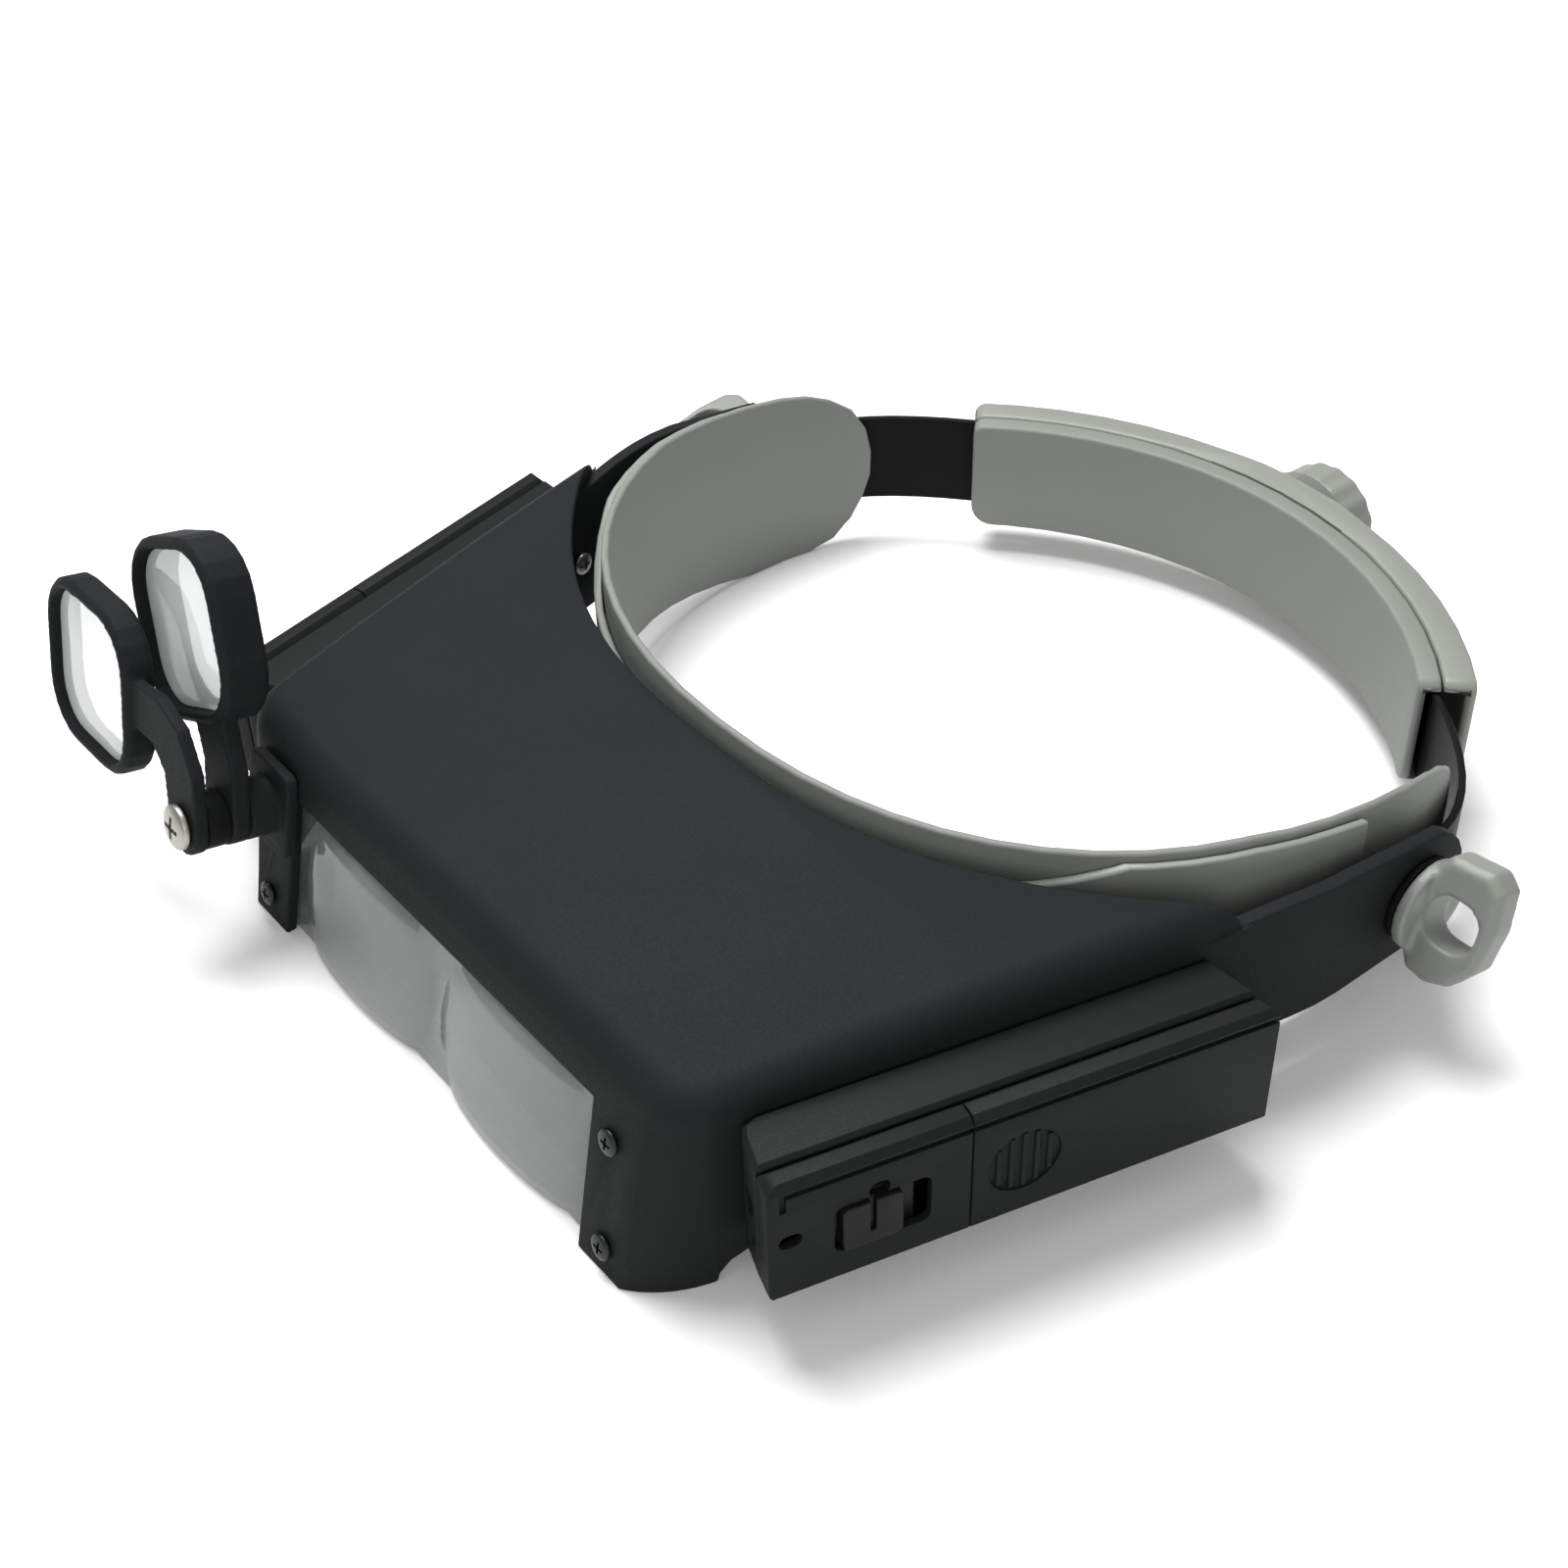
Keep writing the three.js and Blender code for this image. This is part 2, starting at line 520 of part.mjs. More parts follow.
// A flat plate with two bulged zones, side by side, that stand out through the window.
function mainLens() {
  const { back, thick, half, top, bottom } = MAIN_LENS;
  const halfHeight = (upLens(top) - upLens(bottom)) / 2;
  const outline = roundedRect(half, halfHeight, 3, [0, upLens(bottom) + halfHeight], 0, 2);
  let lens = prism(outline, -back - thick, -back, WINDOW_FRAME);
  for (const side of [1, -1]) {
    const dome = new THREE.SphereGeometry(1, 28, 14);
    dome.scale(25.5, 27, ZONE.bulge + thick).translate(side * ZONE.x, -12, -back - thick);
    const from = side * ZONE.x - ZONE.half;
    const to = side * ZONE.x + ZONE.half;
    const [low, high] = [upLens(bottom), WINDOW.top - 1];
    const keep = prism([[from, low], [to, low], [to, high], [from, high]],
      -back - thick, 6, WINDOW_FRAME);
    lens = join(lens, solid(dome.applyMatrix4(WINDOW_FRAME)).intersect(keep));
  }
  for (const at of [...POST_SCREWS, LOUPE_SCREW_HOLE]) {
    lens = cut(lens, rod(LENS_SCREW.r + GAP, -9, 9, WINDOW_FRAME, at, 12));
  }
  return lens;
}

// A plate that hangs from a barrel, with round lower corners and a small notch for the nose.
function flipLens() {
  const { back, thick, half, hingeZ, bottom, pinR, barrelR } = FLIP_LENS;
  const up = upLens(hingeZ);
  const low = upLens(bottom);
  const corners = roundedRect(half, 6, 5, [0, low + 6], 0, 3);
  const notch = [[-3, low], [0, low + 3], [3, low]];
  const outline = [[-half, up + 2], ...corners.slice(8, 12), ...notch, ...corners.slice(12), [half, up + 2]];
  const plate = prism(outline, -back - thick / 2, -back + thick / 2, WINDOW_FRAME);
  const axis = [flipHingeY(), hingeZ];
  const barrel = rod(barrelR, -half, half, SIDE, axis, 12);
  return cut(join(plate, barrel), rod(pinR + GAP, -60, 60, SIDE, axis, 12));
}

function lensScrew(at) {
  const { r, headR, headH, end } = LENS_SCREW;
  return join(rod(headR, GAP, GAP + headH, WINDOW_FRAME, at), rod(r, end, GAP + 0.2, WINDOW_FRAME, at, 12));
}

function lampScrew(u, seat) {
  const { r, headR, z } = LAMP_SCREW;
  const head = rod(headR, -seat - 1.2, -seat, LAMP_SIDE, [z, u]);
  return join(head, rod(r, -seat - 0.2, 1.5, LAMP_SIDE, [z, u], 12));
}

// --- lamp box -------------------------------------------------------------------------------------------
const rearU = (w) => -w * Math.tan(SPLAY);
const frontU = (w) => LAMP.frontIn + ((LAMP.frontOut - LAMP.frontIn) * w) / LAMP.width;

function lampPlan(fromW, toW, inset) {
  return [[rearU(fromW) + inset, fromW], [frontU(fromW) - inset, fromW], [frontU(toW) - inset, toW],
    [rearU(toW) + inset, toW]];
}

function lampHousing() {
  const { top, bottom, seam, wall } = LAMP;
  const front = frontU(seam);
  const plan = [[rearU(GAP), GAP], [frontU(GAP) - 3, GAP], [frontU(3) - 0.8, 1.4], [frontU(4), 4],
    [front, seam], [rearU(seam), seam]];
  const body = prism(plan, bottom, top, LAMP_PLAN, 0.8);
  const near = wall + GAP;
  const cells = [[rearU(near) + wall, near], [50.2, near], [50.2, 30], [rearU(30) + wall, 30]];
  const gear = [[51.4, wall + GAP], [82.4, wall + GAP], [82.8, 30], [51.4, 30]];
  const lampHole = rod(LED.r + 0.4, 80, 95, LAMP_END, [LED.w, LED.z]);
  const smallHole = rod(1.2, 80, 95, LAMP_END, [LED.w + 1.8, -9.6], 10);
  let housing = cut(body, prism(cells, bottom + wall, top - wall, LAMP_PLAN),
    prism(gear, bottom + wall, top - wall, LAMP_PLAN), lampHole, smallHole);
  for (const { u } of LAMP_SCREWS) {
    housing = cut(housing, rod(LAMP_SCREW.r + GAP, -2, 3, LAMP_SIDE, [LAMP_SCREW.z, u], 12));
  }
  return housing;
}

function capOf(fromU, toU) {
  const { top, bottom, width, seam, wall } = LAMP;
  const start = seam + GAP;
  const body = prism(lampPlan(start, width, 0), bottom, top, LAMP_PLAN, 1.2);
  const hollow = lampPlan(start - 3, width - wall, wall + 0.2);
  const inside = prism(hollow, bottom + wall, top - wall, LAMP_PLAN);
  const keep = prism([[fromU, -5], [toU, -5], [toU, 30], [fromU, 30]], -40, 40, LAMP_PLAN);
  const { drop, deep, wide, front } = REVEAL;
  const upper = top - drop;
  const floor = width - deep;
  const groove = box([upper - wide, -20, floor], [upper, front + wide, width + 1], LAMP_SIDE);
  const turnDown = box([upper - 4, front, floor], [upper, front + wide, width + 1], LAMP_SIDE);
  const side = roundedRect((top - bottom) / 2, 60, 2.8, [(top + bottom) / 2, LAMP.frontOut - 60], 0, 4);
  const round = prism(side, -2, width + 5, LAMP_SIDE);
  return cut(body, inside, groove, turnDown).intersect(keep).intersect(round);
}

function switchCover() {
  const { width } = LAMP;
  const middle = [(SLOT.top + SLOT.bottom) / 2, (SLOT.front + SLOT.rear) / 2];
  const slot = roundedRect((SLOT.top - SLOT.bottom) / 2, (SLOT.front - SLOT.rear) / 2, 1.6, middle, 0, 3);
  const notch = roundedRect(1.6, 1.8, 1.4, [SLOT.top + 1.2, middle[1] + 0.6], 0, 3);
  const eye = roundedRect(1.4, 2, 1.3, [-2.4, 83], 0, 3);
  return cut(capOf(DOOR_FRONT + GAP, 100), prism(slot, width - 4, width + 2, LAMP_SIDE),
    prism(notch, width - 4, width + 2, LAMP_SIDE), prism(eye, width - 3, width + 2, LAMP_SIDE));
}

function batteryDoor() {
  const { width } = LAMP;
  const dish = rod(GRIP.r, width - 0.6, width + 2, LAMP_SIDE, [GRIP.z, GRIP.u], 24);
  let door = cut(capOf(-20, DOOR_FRONT), dish);
  for (let i = -2; i <= 2; i += 1) {
    const u = GRIP.u + i * 2.3;
    const reach = Math.sqrt((GRIP.r - 0.5) ** 2 - (i * 2.3) ** 2);
    const low = [GRIP.z - reach, u - 0.45, width - 0.8];
    const rib = box(low, [GRIP.z + reach, u + 0.45, width - 0.1], LAMP_SIDE);
    door = join(door, rib);
  }
  return door;
}

function switchSlider() {
  const { width, wall } = LAMP;
  const zs = [SLOT.bottom + GAP, SLOT.top - GAP];
  const under = width - wall;
  const low = [zs[0] - 2, SWITCH.rear - 3, under - 1.7];
  const flange = box(low, [zs[1] + 2, SWITCH.front + 3, under - GAP], LAMP_SIDE);
  const middle = [(zs[0] + zs[1]) / 2, (SWITCH.front + SWITCH.rear) / 2];
  const key = roundedRect((zs[1] - zs[0]) / 2, (SWITCH.front - SWITCH.rear) / 2, 1.2, middle, 0, 3);
  const thumb = prism(key, under - 0.5, width + 0.7, LAMP_SIDE);
  const slit = box([-6, middle[1] - 0.5, width - 0.6], [5, middle[1] + 0.5, width + 2], LAMP_SIDE);
  return cut(join(flange, thumb), slit);
}

function ledLamp() {
  const at = [LED.w, LED.z];
  return join(rod(LED.r, 77, 84.6, LAMP_END, at), rod(LED.flangeR, 75.6, 78, LAMP_END, at));
}

function cellAt(z) {
  const { r, length, w, rear } = CELL;
  const profile = [[0, 0], [r, 0], [r, length - 1], [2, length - 1], [2, length], [0, length]];
  const lathe = new THREE.LatheGeometry(profile.map(([x, y]) => new THREE.Vector2(x, y)), 20);
  const along = frame(LAMP_AXES[1], LAMP_AXES[0], [0, 0, -1], LAMP_ORIGIN);
  const place = new THREE.Matrix4().makeTranslation(w, rear, -z);
  return solid(lathe.applyMatrix4(along.clone().multiply(place)));
}

function contactPlate(fromU, toU) {
  return box([CELL.w - 4.6, CELL.lower - 4.4, fromU], [CELL.w + 4, CELL.upper + 4.4, toU], LAMP_END);
}

// --- loupes ---------------------------------------------------------------------------------------------
// Depths run backwards from the face of the pivot screw.
const loupePrism = (outline, from, to, bevel = 0) => prism(outline, -to, -from, LOUPE_FRAME, bevel);
const loupeRod = (radius, from, to, sides = 16) => rod(radius, -to, -from, LOUPE_FRAME, [0, 0], sides);

function loupeFrame(loupe, arm) {
  const turn = THREE.MathUtils.degToRad(loupe.turn);
  const at = [loupe.a, loupe.b];
  const edge = roundedRect(LOUPE.half, LOUPE.half, LOUPE.cornerR, at, turn);
  const rim = loupePrism(edge, loupe.from, loupe.to, 1);
  const opening = roundedRect(LOUPE.opening, LOUPE.opening, LOUPE.cornerR - 2.4, at, turn);
  const hub = loupeRod(HUB_R, loupe.armFrom, loupe.armTo, 20);
  const blade = loupePrism(arm, loupe.armFrom, loupe.armTo);
  return cut(join(rim, blade, hub), loupePrism(opening, loupe.from - 2, loupe.to + 2),
    loupeRod(1.5 + GAP, -1, 30, 12));
}

function loupeLens(loupe, thick) {
  const turn = THREE.MathUtils.degToRad(loupe.turn);
  const inner = LOUPE.opening - GAP;
  const middle = loupe.from + LOUPE.lensBack + thick / 2 - 0.6;
  const outline = roundedRect(inner, inner, LOUPE.cornerR - LOUPE.rim - GAP, [loupe.a, loupe.b], turn);
  return loupePrism(outline, middle - thick / 2, middle + thick / 2, 0.8);
}

const FRONT_ARM = [[5.7, 0], [4, 12], [-2, 19], [-10, 21.4], [-24, 19], [-24, 10], [-12, 11], [-7.4, 7.4],
  [-5.7, 0]];
const REAR_ARM = [[5.7, 0], [4.6, 11], [0, 20], [-12, 19], [-6.6, 9], [-5.7, 0]];

function loupeBracket() {
  const face = POST_FACE - GAP;
  const base = loupePrism(roundedRect(7.4, 9, 2, [0.4, 0], 0, 2), face - 2.4, face);
  const boss = loupeRod(HUB_R, REAR_LOUPE.armTo + GAP, face - 1, 20);
  return cut(join(base, boss), loupeRod(1.5 + GAP, -1, face - 2.2, 12));
}

function loupePivotScrew() {
  const head = loupePrism(roundedRect(4.4, 4.4, 4.3), 0, 2, 0.5);
  const cross = [[-2.4, -0.5], [-0.5, -0.5], [-0.5, -2.4], [0.5, -2.4], [0.5, -0.5], [2.4, -0.5],
    [2.4, 0.5], [0.5, 0.5], [0.5, 2.4], [-0.5, 2.4], [-0.5, 0.5], [-2.4, 0.5]];
  return cut(join(head, loupeRod(1.5, 1.5, POST_FACE - 3, 12)), loupePrism(cross, -1, 0.9));
}

const washerAt = (from, to) => cut(loupeRod(HUB_R - 0.3, from, to, 20), loupeRod(1.5 + GAP, -1, 30, 12));

// --- assembly -------------------------------------------------------------------------------------------
const object = new THREE.Group();
const head = new THREE.Group();
head.position.set(0, -BOX_CENTRE_Y, -GROUND_Z);
object.add(head);

function add(name, shape, material) {
  const geometry = shape.isBufferGeometry ? shape : geometryOf(shape);
  const mesh = new THREE.Mesh(geometry, new THREE.MeshStandardMaterial(MATERIALS[material]));
  mesh.name = name;
  head.add(mesh);
}

function addPair(name, shape, material) {
  const geometry = geometryOf(shape);
  add(`left_${name}`, geometry, material);
  add(`right_${name}`, mirrored(geometry), material);
}

// headband
add('sweatband', sweatband(), 'softGrey');
add('front_band', frontBand(), 'grey');
add('left_strap', strap('left', BAND_IN, STRAP.top, KNOB_Z + 5.3), 'black');
add('right_strap', strap('right', BAND_OUT, KNOB_Z - 5.3, STRAP.bottom), 'black');
addPair('tilt_bolt', tiltBolt(), 'steel');
addPair('inner_washer', washer(WASHER.inner), 'black');
addPair('outer_washer', washer(WASHER.outer), 'black');
add('left_tilt_knob', wingKnob(WING.leftLean), 'grey');
add('right_tilt_knob', mirrored(geometryOf(wingKnob(WING.rightLean))), 'grey');

// rear size adjuster
add('rear_housing_inner', housingInner(), 'softGrey');
add('rear_housing_outer', housingOuter(), 'grey');
add('adjuster_knob', rearKnob(), 'grey');
add('adjuster_pinion', pinion(), 'black');

// visor
add('visor_shell', visorShell(), 'black');
add('main_lens', mainLens(), 'clear');
['left_upper', 'left_lower', 'right_lower'].forEach((place, i) => {
  add(`${place}_lens_screw`, lensScrew(POST_SCREWS[i]), 'steel');
});
add('flip_lens', flipLens(), 'clear');
const FLIP_AXIS = [flipHingeY(), FLIP_LENS.hingeZ];
addPair('flip_lens_pin', rod(FLIP_LENS.pinR, 40, 49.4, SIDE, FLIP_AXIS, 12), 'steel');

// lamps
addPair('lamp_housing', lampHousing(), 'darkSatin');
addPair('switch_cover', switchCover(), 'darkSatin');
addPair('battery_door', batteryDoor(), 'darkSatin');
addPair('switch_slider', switchSlider(), 'black');
addPair('led_lamp', ledLamp(), 'led');
addPair('upper_cell', cellAt(CELL.upper), 'cell');
addPair('lower_cell', cellAt(CELL.lower), 'cell');
addPair('front_contact', contactPlate(49.1, 49.7), 'steel');
addPair('rear_contact', contactPlate(3, 3.8), 'steel');
for (const { name, u, seat } of LAMP_SCREWS) {
  addPair(name, lampScrew(u, seat + GAP), 'steel');
}

// loupes
add('loupe_bracket', loupeBracket(), 'black');
add('loupe_spacer', washerAt(FRONT_LOUPE.armTo + GAP, REAR_LOUPE.armFrom - GAP), 'black');
add('loupe_pivot_screw', loupePivotScrew(), 'steel');
add('front_loupe_frame', loupeFrame(FRONT_LOUPE, FRONT_ARM), 'black');
add('front_loupe_lens', loupeLens(FRONT_LOUPE, 3.6), 'clear');
add('rear_loupe_frame', loupeFrame(REAR_LOUPE, REAR_ARM), 'black');
add('rear_loupe_lens', loupeLens(REAR_LOUPE, 5), 'clear');

export default object;
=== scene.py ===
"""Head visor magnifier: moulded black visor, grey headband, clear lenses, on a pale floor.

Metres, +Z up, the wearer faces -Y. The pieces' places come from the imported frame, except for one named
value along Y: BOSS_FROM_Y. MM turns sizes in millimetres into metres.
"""
import json
import math

import bmesh
import bpy
from mathutils import Matrix, Vector


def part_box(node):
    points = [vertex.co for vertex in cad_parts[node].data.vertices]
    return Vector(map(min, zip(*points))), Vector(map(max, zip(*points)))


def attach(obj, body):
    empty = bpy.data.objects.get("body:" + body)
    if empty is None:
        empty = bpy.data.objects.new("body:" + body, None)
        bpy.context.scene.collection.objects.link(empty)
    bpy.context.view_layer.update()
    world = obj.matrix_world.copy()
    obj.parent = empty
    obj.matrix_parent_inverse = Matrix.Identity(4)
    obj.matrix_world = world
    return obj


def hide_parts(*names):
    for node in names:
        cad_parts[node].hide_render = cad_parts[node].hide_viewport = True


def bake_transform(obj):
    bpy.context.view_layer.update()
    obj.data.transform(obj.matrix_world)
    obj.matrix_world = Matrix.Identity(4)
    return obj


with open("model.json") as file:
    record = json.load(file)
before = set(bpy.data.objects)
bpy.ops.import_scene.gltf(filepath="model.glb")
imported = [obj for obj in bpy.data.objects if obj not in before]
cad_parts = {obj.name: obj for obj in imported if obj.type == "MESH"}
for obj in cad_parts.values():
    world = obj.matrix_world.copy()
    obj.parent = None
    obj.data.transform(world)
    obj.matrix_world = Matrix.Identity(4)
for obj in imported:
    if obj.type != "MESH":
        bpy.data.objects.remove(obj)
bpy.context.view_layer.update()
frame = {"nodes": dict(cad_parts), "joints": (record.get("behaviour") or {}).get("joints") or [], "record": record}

NODES = frame["nodes"]
RECORD = frame["record"]
BODY_OF = {node: body for body, names in RECORD["behaviour"]["bodies"].items() for node in names}
SLOT_OF = {part["node"]: part["material_slot"] for part in RECORD["subparts"]}
AXIS_OF = {joint["name"]: Vector(joint["axis"]) for joint in frame["joints"]}
MM = 0.001
SIDES = ("left", "right")

# --- camera and light -----------------------------------------------------------------------------------
AIM = Vector((-0.0098, -0.0206, 0.0141))
AZIMUTH = math.radians(52.5)
ELEVATION = math.radians(39.25)
ROLL = math.radians(-1.6)
DISTANCE = 0.45
LENS_LENGTH = 52.3      # mm
SENSOR_WIDTH = 36       # mm
SKY_STRENGTH = 0.5
FLOOR_HALF = 3.0


def link(obj):
    bpy.context.scene.collection.objects.link(obj)
    return obj


def make_camera():
    back = Vector((
        math.sin(AZIMUTH) * math.cos(ELEVATION),
        -math.cos(AZIMUTH) * math.cos(ELEVATION),
        math.sin(ELEVATION),
    ))
    data = bpy.data.cameras.new("camera")
    data.lens = LENS_LENGTH
    data.sensor_width = SENSOR_WIDTH
    camera = link(bpy.data.objects.new("camera", data))
    camera.rotation_mode = "QUATERNION"
    level = (-back).to_track_quat("-Z", "Y")
    camera.rotation_quaternion = level @ Matrix.Rotation(ROLL, 3, "Z").to_quaternion()
    camera.location = AIM + back * DISTANCE
    bpy.context.scene.camera = camera


def area_light(name, place, size, power):
    """A round soft light at place, turned towards the camera's aim."""
    data = bpy.data.lights.new(name, "AREA")
    data.shape = "DISK"
    data.size = size
    data.energy = power
    light = link(bpy.data.objects.new(name, data))
    light.location = place
    light.rotation_mode = "QUATERNION"
    light.rotation_quaternion = (AIM - Vector(place)).to_track_quat("-Z", "Y")


def make_studio():
    world = bpy.data.worlds.new("studio")
    world.use_nodes = True
    background = world.node_tree.nodes["Background"]
    background.inputs["Color"].default_value = (1, 1, 1, 1)
    background.inputs["Strength"].default_value = SKY_STRENGTH
    bpy.context.scene.world = world
    area_light("key", place=(-0.3, 0.05, 0.85), size=0.6, power=13)
    area_light("fill", place=(0.6, -0.45, 0.4), size=0.5, power=2.0)
    bpy.context.scene.view_settings.view_transform = "Standard"


def make_floor():
    mesh = bpy.data.meshes.new("floor")
    corners = [(x * FLOOR_HALF, y * FLOOR_HALF, 0) for x, y in ((-1, -1), (1, -1), (1, 1), (-1, 1))]
    mesh.from_pydata(corners, [], [(0, 1, 2, 3)])
    floor = link(bpy.data.objects.new("floor", mesh))
    floor.data.materials.append(floor_material())


# --- materials ------------------------------------------------------------------------------------------
def new_material(name):
    """A material, its node tree and its shader node."""
    material = bpy.data.materials.new(name)
    material.use_nodes = True
    tree = material.node_tree
    return material, tree, tree.nodes["Principled BSDF"]


def object_noise(tree, scale, detail, stretch=(1, 1, 1)):
    """Noise in the object's own space; scale is in features per metre."""
    place = tree.nodes.new("ShaderNodeTexCoord")
    mapping = tree.nodes.new("ShaderNodeMapping")
    mapping.inputs["Scale"].default_value = stretch
    noise = tree.nodes.new("ShaderNodeTexNoise")
    noise.inputs["Scale"].default_value = scale
    noise.inputs["Detail"].default_value = detail
    tree.links.new(place.outputs["Object"], mapping.inputs["Vector"])
    tree.links.new(mapping.outputs["Vector"], noise.inputs["Vector"])
    return noise.outputs["Fac"]


def spread(tree, value, low, high, start=0.3, end=0.7):
    """Maps the values from start to end onto low to high."""
    node = tree.nodes.new("ShaderNodeMapRange")
    node.inputs["From Min"].default_value = start
    node.inputs["From Max"].default_value = end
    node.inputs["To Min"].default_value = low
    node.inputs["To Max"].default_value = high
    tree.links.new(value, node.inputs["Value"])
    return node.outputs["Result"]


def two_tone(tree, value, dark, light):
    """A colour that goes from dark, where value is 0, to light, where it is 1."""
    mix = tree.nodes.new("ShaderNodeMix")
    mix.data_type = "RGBA"
    mix.inputs["A"].default_value = (*dark, 1)
    mix.inputs["B"].default_value = (*light, 1)
    tree.links.new(value, mix.inputs["Factor"])
    return mix.outputs["Result"]


def bump(tree, value, depth):
    node = tree.nodes.new("ShaderNodeBump")
    node.inputs["Strength"].default_value = 1
    node.inputs["Distance"].default_value = depth
    tree.links.new(value, node.inputs["Height"])
    return node.outputs["Normal"]


def shade(colour, factor):
    return tuple(min(1.0, c * factor) for c in colour)


def moulded(name, colour, rough, grain=0.35, depth=0.02, mottle=0.06, wear=0.25, specular=0.5):
    """Moulded plastic: spark-eroded grain (its size and depth in mm), slow tone drift, paler worn edges."""
    material, tree, shader = new_material(name)
    drift = object_noise(tree, scale=45, detail=4)
    tone = two_tone(tree, drift, shade(colour, 1 - mottle), shade(colour, 1 + mottle))
    geometry = tree.nodes.new("ShaderNodeNewGeometry")
    edge = spread(tree, geometry.outputs["Pointiness"], low=0, high=wear, start=0.52, end=0.62)
    worn = tree.nodes.new("ShaderNodeMix")
    worn.data_type = "RGBA"
    worn.inputs["B"].default_value = (*shade(colour, 1.6), 1)
    tree.links.new(edge, worn.inputs["Factor"])
    tree.links.new(tone, worn.inputs["A"])
    tree.links.new(worn.outputs["Result"], shader.inputs["Base Color"])
    grit = object_noise(tree, scale=1 / (grain * MM), detail=2)
    tree.links.new(spread(tree, grit, rough - 0.06, rough + 0.06), shader.inputs["Roughness"])
    tree.links.new(bump(tree, grit, depth * MM), shader.inputs["Normal"])
    shader.inputs["Specular IOR Level"].default_value = specular
    return material


def brushed(name, colour, rough):
    """Plated steel with fine turning marks and faint stains."""
    material, tree, shader = new_material(name)
    stain = object_noise(tree, scale=300, detail=3)
    tone = two_tone(tree, stain, shade(colour, 0.8), shade(colour, 1.15))
    tree.links.new(tone, shader.inputs["Base Color"])
    marks = object_noise(tree, scale=2500, detail=2, stretch=(1, 1, 6))
    tree.links.new(spread(tree, marks, rough - 0.08, rough + 0.1), shader.inputs["Roughness"])
    tree.links.new(bump(tree, marks, 0.004 * MM), shader.inputs["Normal"])
    shader.inputs["Metallic"].default_value = 1
    return material


def clear(name, colour, alpha, rough, ior=1.49):
    """Polished optical plastic: see-through, with handling haze."""
    material, tree, shader = new_material(name)
    haze = object_noise(tree, scale=60, detail=5, stretch=(1, 1, 3))
    tree.links.new(spread(tree, haze, rough, rough + 0.08), shader.inputs["Roughness"])
    tone = two_tone(tree, haze, shade(colour, 0.92), shade(colour, 1.05))
    tree.links.new(tone, shader.inputs["Base Color"])
    shader.inputs["IOR"].default_value = ior
    shader.inputs["Alpha"].default_value = alpha
    shader.inputs["Coat Weight"].default_value = 0.6
    shader.inputs["Coat Roughness"].default_value = 0.03
    return material


def floor_material():
    material, tree, shader = new_material("pale_floor")
    drift = object_noise(tree, scale=3, detail=2)
    tree.links.new(two_tone(tree, drift, (0.88,) * 3, (0.9,) * 3), shader.inputs["Base Color"])
    shader.inputs["Roughness"].default_value = 0.9
    return material


MATERIALS = {
    "shell_plastic": moulded(
        "shell_plastic", (0.0108, 0.0125, 0.013), rough=0.62,
        grain=0.5, depth=0.06, mottle=0.12, specular=0.06,
    ),
    "lamp_plastic": moulded(
        "lamp_plastic", (0.009, 0.0102, 0.0105), rough=0.5, grain=0.3, depth=0.02, specular=0.07,
    ),
    "strap_plastic": moulded(
        "strap_plastic", (0.006, 0.0065, 0.0065), rough=0.45, grain=0.3, depth=0.02, specular=0.05,
    ),
    "switch_plastic": moulded(
        "switch_plastic", (0.006, 0.0065, 0.007), rough=0.32, grain=0.4, depth=0.005, specular=0.12,
    ),
    "grey_plastic": moulded(
        "grey_plastic", (0.176, 0.187, 0.167), rough=0.5, depth=0.012, mottle=0.03, wear=0.2,
    ),
    "grey_liner": moulded(
        "grey_liner", (0.155, 0.166, 0.149), rough=0.62, grain=0.6, depth=0.02, mottle=0.04, wear=0.3,
    ),
    "lens_acrylic": clear("lens_acrylic", (0.2, 0.222, 0.21), alpha=0.5, rough=0.06),
    "loupe_glass": clear("loupe_glass", (0.74, 0.77, 0.75), alpha=0.58, rough=0.02, ior=1.52),
    "screw_steel": brushed("screw_steel", (0.34, 0.34, 0.32), rough=0.32),
    "black_screw": brushed("black_screw", (0.035, 0.037, 0.038), rough=0.38),
    "pale_steel": brushed("pale_steel", (0.36, 0.355, 0.315), rough=0.4),
    "led_resin": clear("led_resin", (0.9, 0.88, 0.78), alpha=0.6, rough=0.05, ior=1.5),
    "cell_jacket": moulded("cell_jacket", (0.08, 0.14, 0.09), rough=0.35, depth=0.004, mottle=0.1),
}


# --- pieces ---------------------------------------------------------------------------------------------
FLAT_ANGLE = math.radians(0.6)              # the CAD edges that turn less than this are dissolved
SHARP_ANGLE = math.radians(32)              # the edges that turn more than this are rounded
BEVEL_SEGMENTS = 3
BEVEL_SHARES = (1, 0.6, 0.35, 0.2, 0.1)     # of the radius asked for, tried in turn
CAD_WELD = 0.003 * MM
BEVEL_WELD = 0.002 * MM
BOX_SLACK = 0.02 * MM
LEAST_VOLUME, MOST_VOLUME = 0.8, 1.02       # of the CAD volume, for a rounded piece


def as_piece(bm, node, smooth_below=40, rides=True):
    """Turns a bmesh into the piece that stands for a CAD node, with that node's material slot.

    It rides on that node's body unless rides is False, which leaves it on no body. Edges that turn less
    than smooth_below degrees are shaded smooth.
    """
    name = "soft_" + node
    bmesh.ops.recalc_face_normals(bm, faces=bm.faces)
    mesh = bpy.data.meshes.new(name)
    bm.to_mesh(mesh)
    bm.free()
    mesh.materials.append(MATERIALS[SLOT_OF[node]])
    mesh.shade_smooth()
    mesh.set_sharp_from_angle(angle=math.radians(smooth_below))
    piece = link(bpy.data.objects.new(name, mesh))
    if rides:
        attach(piece, BODY_OF[node])
    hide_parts(node)
    return piece


